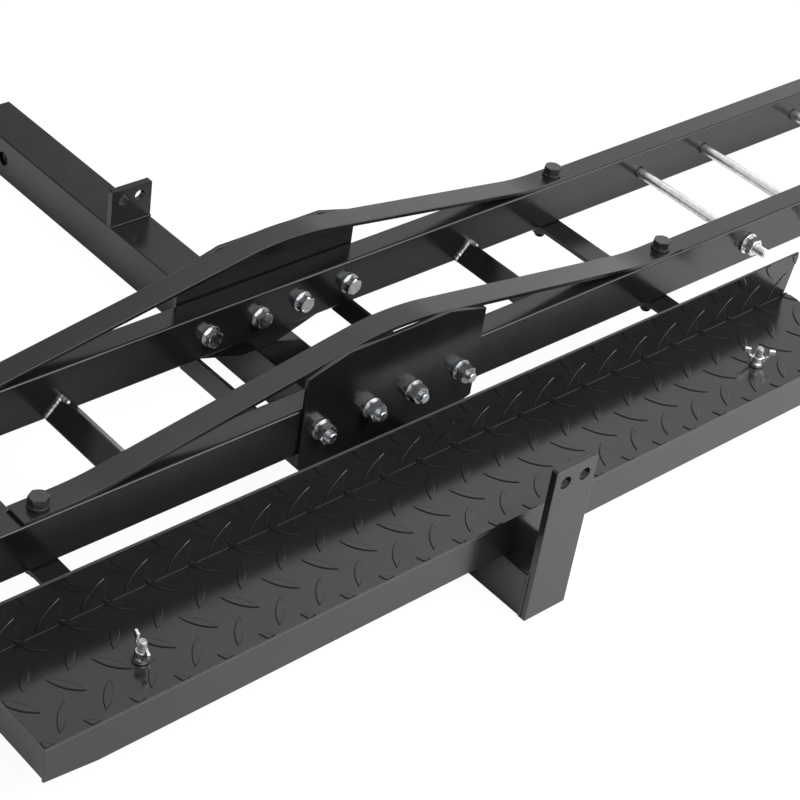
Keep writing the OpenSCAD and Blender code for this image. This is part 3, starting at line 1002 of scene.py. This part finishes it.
@dataclass
class Hardware:
    """Bolts, nuts, washers, wheel-stop rods and studs, with chamfered hexagons and threads.

    The thread's form gives, for each stretch of its profile, the way outwards as a share of
    the thread's depth and the way upwards as a share of its pitch.
    """

    across_flats: float = 16.8 * MM
    head_flats: float = 15.8 * MM
    bolt: float = 10.8 * MM
    head: float = 7.5 * MM
    nut: float = 10.0 * MM
    pitch: float = 1.5 * MM
    bore: float = 10.9 * MM
    washer_bore: float = 11.6 * MM
    plate_washer: float = 21.0 * MM
    strap_washer: float = 19.4 * MM
    rod_washer: float = 23.2 * MM
    stud: float = 8.0 * MM
    stud_pitch: float = 1.25 * MM
    stud_flats: float = 13.0 * MM
    stud_head: float = 5.5 * MM
    chamfer: float = 0.96
    chamfer_fall: float = 0.55
    thread_depth: float = 0.61
    thread_form: tuple[tuple[int, float], ...] = ((0, 0.14), (1, 0.3), (0, 0.12), (-1, 0.3),
                                                  (0, 0.14))
    thread_lead: float = 0.55
    thread_steps: int = 28
    thread_phase: float = 0.0086
    thread: float = 18.0 * MM
    stud_thread: float = 22.0 * MM
    stud_room: float = 0.16 * MM
    edge: float = 0.22 * MM
    edge_angle: float = 18.0
    spin_most: float = 30.0
    rod_tail: float = 9.0 * MM
    stud_tail: float = -5.0 * MM

    def hexagon(self, name: str, flats: float, height: float, both: bool) -> bpy.types.Object:
        """Returns an upright hexagon on z = 0 with the turned chamfer of a head or nut.

        Args:
            name: The new piece's name.
            flats: Width across the flats.
            height: Height of the hexagon.
            both: Whether the foot is chamfered too.
        """
        corner = flats / math.sqrt(3)
        wide = corner * 1.01
        fall = (corner - flats / 2 * self.chamfer) * self.chamfer_fall
        tip = flats / 2 * self.chamfer
        piece = Bench.cylinder(name, corner, 0.0, height, 6)
        foot = [(tip, 0.0), (wide, fall)] if both else [(wide, -0.1 * MM)]
        blank = Bench.turned("blank", foot + [(wide, height - fall), (tip, height)], 96)
        return Bench.combine(piece, blank, "INTERSECT")

    def threaded(self, name: str, width: float, pitch: float, low: float,
                 high: float) -> bpy.types.Object:
        """Returns a rod with a helical thread, chamfered at its lower end.

        Args:
            name: The new piece's name.
            width: The thread's outer diameter.
            pitch: Height of one turn.
            low: Height of the lower end.
            high: Height of the upper end.
        """
        crest, root = width / 2, width / 2 - self.thread_depth * pitch
        height, over = high - low, 0.2 * MM
        turns = math.ceil(height / pitch) + 3
        Bench.clear()
        bpy.ops.mesh.primitive_plane_add(size=pitch, location=(0.0, 0.0, 0.0))
        piece = Bench.named(name)
        Bench.edit(piece, "VERT", everything=True)
        bpy.ops.mesh.merge(type="CENTER")
        bpy.ops.transform.translate(value=(root, 0.0, -(1.0 + self.thread_phase) * pitch))
        for across, along in self.thread_form:
            bpy.ops.mesh.extrude_vertices_move(
                TRANSFORM_OT_translate={"value": (across * (crest - root), 0.0, along * pitch)})
        Bench.done()
        Bench.modify(piece, "SCREW", axis="Z", angle=2 * math.pi, screw_offset=pitch,
                     iterations=turns, steps=self.thread_steps, render_steps=self.thread_steps,
                     use_merge_vertices=True, merge_threshold=1e-7)
        Bench.trim(piece, (0, 0, 0), (0, 0, -1))
        Bench.trim(piece, (0, 0, height), (0, 0, 1))
        Bench.repair(piece)
        lead = self.thread_lead * pitch + 0.4 * MM
        wide, narrow = crest * 1.02, root * 0.97
        tip = narrow - (wide - narrow) * over / lead
        blank = Bench.turned("blank", [(tip, -over), (wide, lead), (wide, height + MM)])
        Bench.combine(piece, blank, "INTERSECT")
        piece.location.z = low
        return Bench.apply_place(piece)

    def bolt_piece(self, name: str, box: tuple[Vector, Vector], facing: Facing,
                   sizes: tuple[float, float, float, float, float],
                   tail: float = 0.0) -> bpy.types.Object:
        """Returns a bolt in place: head, plain shank and thread.

        Args:
            name: The new piece's name.
            box: Lowest and highest corner of the CAD bolt.
            facing: Where the head points.
            sizes: Width across flats, head height, diameter, pitch and length of thread.
            tail: Length of thread that the CAD bolt leaves out.
        """
        flats, head, width, pitch, thread = sizes
        direction = facing.turn() @ Vector((0.0, 0.0, 1.0))
        half = (box[1] - box[0]) / 2
        reach = abs(half.dot(direction))
        length = 2 * reach - head + tail
        top = self.hexagon(name, flats, head, False)
        Bench.round_edges(top, self.edge, degrees=self.edge_angle)
        shank = Bench.cylinder("shank", width / 2, thread - length, 0.4 * MM, 40)
        Bench.smooth(shank)
        end = self.threaded("thread", width, pitch, -length, thread - length + 0.3 * MM)
        Bench.smooth(end, 32.0)
        piece = Bench.join(name, [top, shank, end])
        seat = (box[0] + box[1]) / 2 + direction * (reach - head)
        piece.matrix_world = Matrix.Translation(seat) @ facing.turn()
        return Bench.apply_place(piece)

    def nut_piece(self, name: str) -> bpy.types.Object:
        """Returns a nut on z = 0 with a countersunk bore.

        Args:
            name: The new piece's name.
        """
        piece = self.hexagon(name, self.across_flats, self.nut, True)
        over, sink, deep = 0.1 * MM, 0.8 * MM, 0.9 * MM
        bore = self.bore / 2
        drill = Bench.turned("drill", [(bore + sink, -over), (bore, deep),
                                       (bore, self.nut - deep), (bore + sink, self.nut + over)])
        Bench.combine(piece, drill, "DIFFERENCE")
        return Bench.round_edges(piece, self.edge, degrees=self.edge_angle)

    def washer_piece(self, name: str, outer: float, bore: float,
                     thick: float) -> bpy.types.Object:
        """Returns a flat washer on z = 0 with rounded rims.

        Args:
            name: The new piece's name.
            outer: Its outer diameter.
            bore: Diameter of its hole.
            thick: Its thickness.
        """
        piece = Bench.cylinder(name, outer / 2, 0.0, thick, 64)
        drill = Bench.cylinder("drill", bore / 2, -MM, thick + MM, 64)
        Bench.combine(piece, drill, "DIFFERENCE")
        return Bench.round_edges(piece, 0.16 * thick, 2)

    def spread_out(self, node: str, model: bpy.types.Object, facing: Callable[[Vector], Facing],
                   finisher: Finisher) -> None:
        """Copies a nut or washer to each solid of its CAD node.

        Args:
            node: The CAD node that the copies stand for.
            model: The model piece on z = 0, used up here.
            facing: Gives the direction of a copy from the middle of its solid.
            finisher: Dresses the joined copies.
        """
        copies = []
        for low, high in Bench.islands(node):
            middle = (low + high) / 2
            turn = facing(middle).turn()
            direction = turn @ Vector((0.0, 0.0, 1.0))
            foot = middle - direction * abs(((high - low) / 2).dot(direction))
            angle = math.sin(middle.x * 997.0) * self.spin_most
            spin = Matrix.Rotation(math.radians(angle), 4, "Z")
            copies.append(Bench.copy(model, Matrix.Translation(foot) @ turn @ spin))
        Bench.drop(model)
        finisher.carry(Bench.join(f"{node}_made", copies), finisher.node_body[node],
                       finisher.node_slot[node], [node])

    def build(self, finisher: Finisher) -> None:
        """Makes and dresses all hardware.

        Args:
            finisher: Dresses the pieces and hands them to their bodies.
        """
        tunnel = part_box("cross_tie_left")
        middle_y = (tunnel[0].y + tunnel[1].y) / 2
        big = (self.head_flats, self.head, self.bolt, self.pitch, self.thread)
        small = (self.stud_flats, self.stud_head, self.stud, self.stud_pitch, self.stud_thread)

        def inner(place: Vector) -> Facing:
            """Points into the wheel channel."""
            return Facing.INWARD if place.y < middle_y else Facing.OUTWARD

        def outer(place: Vector) -> Facing:
            """Points away from the wheel channel."""
            return Facing.OUTWARD if place.y < middle_y else Facing.INWARD

        def always(facing: Facing) -> Callable[[Vector], Facing]:
            """Points one way in every place."""
            return lambda _: facing

        bolts = {"plate_bolts": (inner, big, 0.0, None),
                 "strap_bolts": (always(Facing.UP), big, 0.0, None),
                 "ramp_studs": (always(Facing.DOWN), small, self.stud_tail, finisher.stud_zinc)}
        for rod in (name for name in finisher.node_slot if name.startswith("wheel_rod")):
            bolts[rod] = (always(Facing.INWARD), big, self.rod_tail, finisher.rod_zinc)
        for node, (facing, sizes, tail, zinc) in bolts.items():
            made = [self.bolt_piece(f"{node}_{i}", box, facing((box[0] + box[1]) / 2), sizes, tail)
                    for i, box in enumerate(Bench.islands(node))]
            finisher.carry(Bench.join(f"{node}_made", made), finisher.node_body[node],
                           finisher.node_slot[node], [node], zinc)
        nuts = {"plate_nuts": outer, "strap_nuts": always(Facing.DOWN),
                "rod_nuts": always(Facing.OUTWARD)}
        for node, facing in nuts.items():
            self.spread_out(node, self.nut_piece("nut"), facing, finisher)
        washers = {"plate_head_washers": (inner, self.plate_washer),
                   "plate_nut_washers": (outer, self.plate_washer),
                   "strap_washers": (always(Facing.UP), self.strap_washer),
                   "rod_head_washers": (always(Facing.INWARD), self.rod_washer),
                   "rod_nut_washers": (always(Facing.OUTWARD), self.rod_washer),
                   "wing_washer_left": (always(Facing.UP), None),
                   "wing_washer_right": (always(Facing.UP), None)}
        for node, (facing, width) in washers.items():
            low, high = Bench.islands(node)[0]
            size = sorted(high - low)
            bore = self.washer_bore if width else self.stud + self.stud_room
            self.spread_out(node, self.washer_piece("washer", width or size[2], bore, size[0]),
                            facing, finisher)


@dataclass
class WingNuts:
    """The two cast wing nuts that hold the ramp down on its studs.

    The arm's corners are pairs of distance from the axis and height. Each of its bends gives
    the way outwards, the way upwards, and the scales of its height and thickness.
    """

    hub_foot: float = 6.4 * MM
    hub_step: float = 1.6 * MM
    hub_flare: float = 0.5 * MM
    hub_waist: float = 4.0 * MM
    hub_neck: float = 5.2 * MM
    hub_height: float = 9.5 * MM
    arm_low: tuple[float, float] = (2.0 * MM, 1.5 * MM)
    arm_high: tuple[float, float] = (5.6 * MM, 8.6 * MM)
    arm_swell: float = 1.25
    arm_end: float = 5.0 * MM
    arm_bends: tuple[tuple[float, float, float, float], ...] = (
        (2.8 * MM, 3.2 * MM, 0.86, 0.86), (2.6 * MM, 3.6 * MM, 0.95, 0.9))
    wing_top: float = 18.0 * MM
    wing_reach: float = 15.2 * MM
    wing_thick: float = 3.0 * MM
    tip_size: tuple[float, float] = (6.4 * MM, 6.2 * MM)
    bore: float = 4.08 * MM
    grain: float = 0.42 * MM
    turns: tuple[float, float] = (74.0, 137.0)

    def wing(self, side: int) -> bpy.types.Object:
        """Returns one wing: a flat arm that leaves the hub and ends in a blunt tip.

        Args:
            side: 1 for the wing towards +X and -1 for the other.
        """
        half = self.wing_thick / 2
        (near, foot), (far, head) = self.arm_low, self.arm_high
        arm = Bench.block("arm", Vector((near, -half * self.arm_swell, foot)),
                          Vector((far, half * self.arm_swell, head)))
        Bench.edit(arm)
        for slide, lift, tall, thin in self.arm_bends:
            Bench.choose(arm, "polygons", lambda f: f.normal.x > 0.5
                         and f.center.x > self.arm_end)
            bpy.ops.mesh.extrude_region_move(
                TRANSFORM_OT_translate={"value": (slide, 0.0, lift)})
            bpy.ops.transform.resize(value=(1.0, thin, tall))
        Bench.done()
        wide, tall = self.tip_size
        tip = Bench.block("tip", Vector((self.wing_reach - wide, -half, self.wing_top - tall)),
                          Vector((self.wing_reach, half, self.wing_top)))
        wing = Bench.join("wing", [arm, tip])
        if side < 0:
            wing.matrix_world = Matrix.Rotation(math.pi, 4, "Z")
            Bench.apply_place(wing)
        return wing

    def nut(self, name: str, node: str, turn: float) -> bpy.types.Object:
        """Returns a wing nut in the place of its CAD node.

        Args:
            name: The new piece's name.
            node: The CAD node it stands for.
            turn: Turn of the wings from the X axis, in degrees.
        """
        hub = Bench.turned(name, [(self.hub_foot, 0.0), (self.hub_foot, self.hub_step),
                                  (self.hub_neck + self.hub_flare, self.hub_waist),
                                  (self.hub_neck, self.hub_height)], 64)
        piece = Bench.join(name, [hub, self.wing(1), self.wing(-1)])
        Bench.modify(piece, "REMESH", mode="VOXEL", voxel_size=self.grain)
        Bench.modify(piece, "SMOOTH", factor=0.5, iterations=4)
        drill = Bench.cylinder("drill", self.bore, -MM, self.wing_top + MM, 48)
        Bench.combine(piece, drill, "DIFFERENCE")
        Bench.smooth(piece, 50.0)
        low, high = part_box(node)
        middle = (low + high) / 2
        piece.matrix_world = (Matrix.Translation((middle.x, middle.y, low.z))
                              @ Matrix.Rotation(math.radians(turn), 4, "Z"))
        return Bench.apply_place(piece)

    def build(self, finisher: Finisher) -> None:
        """Makes and dresses both wing nuts."""
        for side, turn in zip(("left", "right"), self.turns):
            node = f"wing_nut_{side}"
            finisher.carry(self.nut(f"{node}_cast", node, turn), finisher.node_body[node],
                           Slot.ZINC, [node])


@dataclass
class Welds:
    """The weld beads between the steel pieces, some bare and bright, most painted over."""

    step: float = 1.7 * MM
    grain: float = 0.7 * MM
    bare: float = 2.3 * MM
    painted: float = 1.9 * MM
    slim: float = 1.2 * MM
    plate_reach: float = 19.0 * MM

    def bead(self, name: str, paths: list[tuple[Vector, Vector]],
             radius: float) -> bpy.types.Object:
        """Returns a run of overlapping ripples along straight stretches.

        Args:
            name: The new piece's name.
            paths: Start and end of each stretch.
            radius: Radius of a ripple.
        """
        ripples = []
        for start, end in paths:
            way = end - start
            count = max(2, round(way.length / self.step))
            for i in range(count + 1):
                wave = math.sin(i * 2.4 + start.x * 731.0 + start.z * 377.0)
                Bench.clear()
                bpy.ops.mesh.primitive_uv_sphere_add(
                    segments=14, ring_count=9, radius=radius * (1.0 + 0.16 * wave),
                    location=start + way * (i / count))
                ripples.append(Bench.apply_place(bpy.context.object))
        piece = Bench.join(name, ripples)
        Bench.modify(piece, "REMESH", mode="VOXEL", voxel_size=self.grain)
        Bench.modify(piece, "SMOOTH", factor=0.4, iterations=2)
        return Bench.smooth(piece, 60.0)

    @staticmethod
    def outline(points: list[tuple[float, float, float]]) -> list[tuple[Vector, Vector]]:
        """Turns a chain of points into stretches."""
        chain = [Vector(point) for point in points]
        return list(zip(chain, chain[1:]))

    def crossbar_run(self, side: str) -> list[tuple[Vector, Vector]]:
        """Returns the bead that climbs a cross bar's slope and turns along its ridge.

        Args:
            side: Which of the two cross bars, left or right.
        """
        low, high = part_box(f"crossbar_{side}")
        middle = (low.x + high.x) / 2
        wall = high.y - 0.8 * MM
        slope = self.outline([(low.x + 2 * MM, wall, low.z + 3 * MM), (middle, wall, high.z)])
        ridge = self.outline([(middle, wall - 1.2 * MM, high.z - 0.3 * MM),
                              (middle + 0.5 * MM, wall - 9 * MM, high.z - 0.5 * MM)])
        return slope + ridge

    def painted_runs(self) -> dict[str, tuple[list[tuple[Vector, Vector]], float]]:
        """Returns the beads under the powder coat by their names, each with its radius."""
        bar_low, bar_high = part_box("hitch_bar")
        top, foot = bar_high.z, bar_low.z + 2 * MM
        tab_low, tab_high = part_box("tie_down_tab")
        run = []
        for y in (tab_low.y, tab_high.y):
            run += self.outline([(tab_low.x + MM, y, top), (tab_high.x - MM, y, top)])
        runs = {"tab_weld": (run, self.painted)}
        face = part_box("end_bar")[1].y
        left, right = bar_low.x, bar_high.x
        runs["end_bar_weld"] = (
            self.outline([(left, face, foot), (left, face, top),
                          (right, face, top), (right, face, foot)]), self.painted)
        for plate, corner in (("front_center_plate", 0), ("rear_center_plate", 1)):
            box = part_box(plate)
            middle, face = (box[0].x + box[1].x) / 2, box[corner].y
            runs[f"{plate}_weld"] = (
                self.outline([(middle - self.plate_reach, face, top),
                              (middle + self.plate_reach, face, top)]), self.painted)
        deck_low, deck_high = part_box("ramp_deck")
        skirt_low, skirt_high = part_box("ramp_skirt")
        seam = skirt_high.y + 0.2 * MM
        for side, x in (("left", deck_low.x + 2.6 * MM), ("right", deck_high.x - 2.6 * MM)):
            runs[f"end_plate_weld_{side}"] = (
                self.outline([(x, seam, skirt_low.z + 9 * MM), (x, seam, skirt_high.z)]),
                self.slim)
        return runs

    def build(self, finisher: Finisher) -> None:
        """Makes and dresses all beads.

        Args:
            finisher: Dresses the beads and hands them to their bodies.
        """
        for side in ("left", "right"):
            bead = self.bead(f"crossbar_weld_{side}", self.crossbar_run(side), self.bare)
            finisher.carry(bead, "carrier", Slot.ZINC, material=finisher.weld)
        for name, (run, radius) in self.painted_runs().items():
            body = "ramp" if name.startswith("end_plate") else "carrier"
            finisher.carry(self.bead(name, run, radius), body, Slot.POWDER)


@dataclass
class Studio:
    """Pale studio: white floor and surround, one softbox in front, and the photo's camera."""

    eye: tuple[float, float, float] = (-1.1513, -1.6941, 1.2543)
    right: tuple[float, float, float] = (0.7459, -0.6530, 0.1315)
    up: tuple[float, float, float] = (0.3205, 0.5249, 0.7885)
    ahead: tuple[float, float, float] = (0.5848, 0.5448, -0.6009)
    lens: float = 96.4715
    floor_z: float = -0.0252
    floor_size: float = 40.0
    floor_white: float = 0.85
    floor_faint: float = 0.1
    floor_glow: float = 0.94
    world_level: float = 0.5
    mirror_level: float = 7.6
    key_aim: tuple[float, float, float] = (0.25, -0.75, 0.9)
    key_size: tuple[float, float] = (1.4, 1.2)
    key_away: float = 2.2
    key_watts: float = 66.0
    key_target: tuple[float, float, float] = (0.0, -0.55, 0.1)
    mirror_x: tuple[tuple[float, float], ...] = ((0.35, 0.5), (0.6, 0.667), (0.65, 0.74),
                                                 (0.8, 0.74), (0.86, 0.72))
    mirror_y: tuple[tuple[float, float], ...] = (
        (0.14, 1.0), (0.24, 0.21), (0.5, 0.21), (0.72, 0.25), (0.742, 0.32), (0.755, 0.3),
        (0.77, 0.2), (0.8, 0.25), (0.835, 0.095))
    mirror_z: tuple[tuple[float, float], ...] = (
        (0.3, 1.0), (0.42, 0.85), (0.49, 0.7), (0.55, 0.83), (0.68, 1.0), (0.78, 1.0), (1.0, 0.52))

    def camera(self) -> None:
        """Sets the camera at the photo's place."""
        Bench.clear()
        bpy.ops.object.camera_add()
        camera = bpy.context.object
        camera.data.lens = self.lens
        camera.data.sensor_width = 36.0
        camera.data.clip_end = 100.0
        rows = [(r, u, -a, e) for r, u, a, e in zip(self.right, self.up, self.ahead, self.eye)]
        camera.matrix_world = Matrix((*rows, (0.0, 0.0, 0.0, 1.0)))
        bpy.context.scene.camera = camera

    def floor(self) -> None:
        """Lays a white floor, nearly a lamp of its own to the camera, with a faint shadow."""
        Bench.clear()
        bpy.ops.mesh.primitive_plane_add(size=self.floor_size,
                                         location=(0.0, 0.0, self.floor_z))
        floor = Bench.apply_place(Bench.named("floor"))
        s = Shader("white floor")
        s.tree.nodes.remove(s.surface)
        paper, faint = (s.add("ShaderNodeBsdfDiffuse", Color=(grey, grey, grey, 1.0))
                        for grey in (self.floor_white, self.floor_faint))
        glow = s.add("ShaderNodeEmission", Strength=self.floor_glow)
        shown = s.add("ShaderNodeAddShader")
        s.link(faint, 0, shown, 0)
        s.link(glow, 0, shown, 1)
        rays = s.add("ShaderNodeLightPath")
        seen = s.add("ShaderNodeMath", operation="MAXIMUM")
        s.link(rays, "Is Camera Ray", seen, 0)
        s.link(rays, "Is Transmission Ray", seen, 1)
        mix = s.add("ShaderNodeMixShader")
        s.link(seen, 0, mix, 0)
        s.link(paper, 0, mix, 1)
        s.link(shown, 0, mix, 2)
        s.link(mix, 0, s.output, "Surface")
        floor.data.materials.append(s.material)

    def grade(self, tree: bpy.types.NodeTree) -> bpy.types.NodeSocket:
        """Grades the mirrored surround by direction: one ramp for each axis, all multiplied.

        Args:
            tree: The world's node tree.

        Returns:
            The socket that carries the product.
        """
        add, link = tree.nodes.new, tree.links.new
        place = add("ShaderNodeTexCoord")
        split = add("ShaderNodeSeparateXYZ")
        link(place.outputs["Generated"], split.inputs[0])
        product = None
        for axis, stops in (("X", self.mirror_x), ("Y", self.mirror_y), ("Z", self.mirror_z)):
            source = split.outputs[axis]
            if axis != "Z":
                half = add("ShaderNodeMath")
                half.operation = "MULTIPLY_ADD"
                half.inputs[1].default_value = half.inputs[2].default_value = 0.5
                link(source, half.inputs[0])
                source = half.outputs[0]
            ramp = add("ShaderNodeValToRGB")
            elements = ramp.color_ramp.elements
            while len(elements) < len(stops):
                elements.new(0.5)
            for element, (position, level) in zip(elements, stops):
                element.position = position
                element.color = (level, level, level, 1.0)
            link(source, ramp.inputs[0])
            if product is None:
                product = ramp.outputs[0]
                continue
            times = add("ShaderNodeMix")
            times.data_type = "RGBA"
            times.blend_type = "MULTIPLY"
            times.inputs[0].default_value = 1.0
            link(product, times.inputs[6])
            link(ramp.outputs[0], times.inputs[7])
            product = times.outputs[2]
        return product

    def world(self) -> None:
        """Surrounds the scene with white, graded by direction in reflections."""
        world = bpy.data.worlds.new("white room")
        bpy.context.scene.world = world
        world.use_nodes = True
        tree = world.node_tree
        tree.nodes.clear()
        add, link = tree.nodes.new, tree.links.new
        output = add("ShaderNodeOutputWorld")
        room, mirror, white = (add("ShaderNodeBackground") for _ in range(3))
        for lit, level in ((room, self.world_level), (mirror, self.mirror_level), (white, 1.0)):
            lit.inputs["Color"].default_value = (1.0, 1.0, 1.0, 1.0)
            lit.inputs["Strength"].default_value = level
        link(self.grade(tree), mirror.inputs["Color"])
        rays = add("ShaderNodeLightPath")
        glossy = add("ShaderNodeMixShader")
        link(rays.outputs["Is Glossy Ray"], glossy.inputs[0])
        link(room.outputs[0], glossy.inputs[1])
        link(mirror.outputs[0], glossy.inputs[2])
        through = add("ShaderNodeMath")
        through.operation = "MAXIMUM"
        link(rays.outputs["Is Camera Ray"], through.inputs[0])
        link(rays.outputs["Is Transmission Ray"], through.inputs[1])
        shown = add("ShaderNodeMixShader")
        link(through.outputs[0], shown.inputs[0])
        link(glossy.outputs[0], shown.inputs[1])
        link(white.outputs[0], shown.inputs[2])
        link(shown.outputs[0], output.inputs["Surface"])

    def lamps(self) -> None:
        """Hangs the softbox that lights the carrier from its front right."""
        aim = Vector(self.key_aim).normalized()
        Bench.clear()
        bpy.ops.object.light_add(type="AREA",
                                 location=Vector(self.key_target) + aim * self.key_away)
        lamp = bpy.context.object
        lamp.name = "key_softbox"
        lamp.data.shape = "RECTANGLE"
        lamp.data.size, lamp.data.size_y = self.key_size
        lamp.data.energy = self.key_watts
        lamp.rotation_euler = aim.to_track_quat("Z", "Y").to_euler()
        lamp.visible_camera = False
        lamp.visible_glossy = False

    def build(self) -> None:
        """Sets the view transform, camera, floor, world and lamps."""
        bpy.context.scene.view_settings.view_transform = "Standard"
        self.camera()
        self.floor()
        self.world()
        self.lamps()


def main() -> None:
    """Builds the dressed carrier in its studio."""
    logging.basicConfig(level=logging.INFO, format="%(name)s: %(message)s")
    Studio().build()
    finisher = Finisher()
    finisher.dress_nodes()
    Steelwork().build(finisher)
    TreadDeck().build(finisher)
    Hardware().build(finisher)
    WingNuts().build(finisher)
    Welds().build(finisher)
    Bench.clear()


if __name__ == "__main__":
    main()
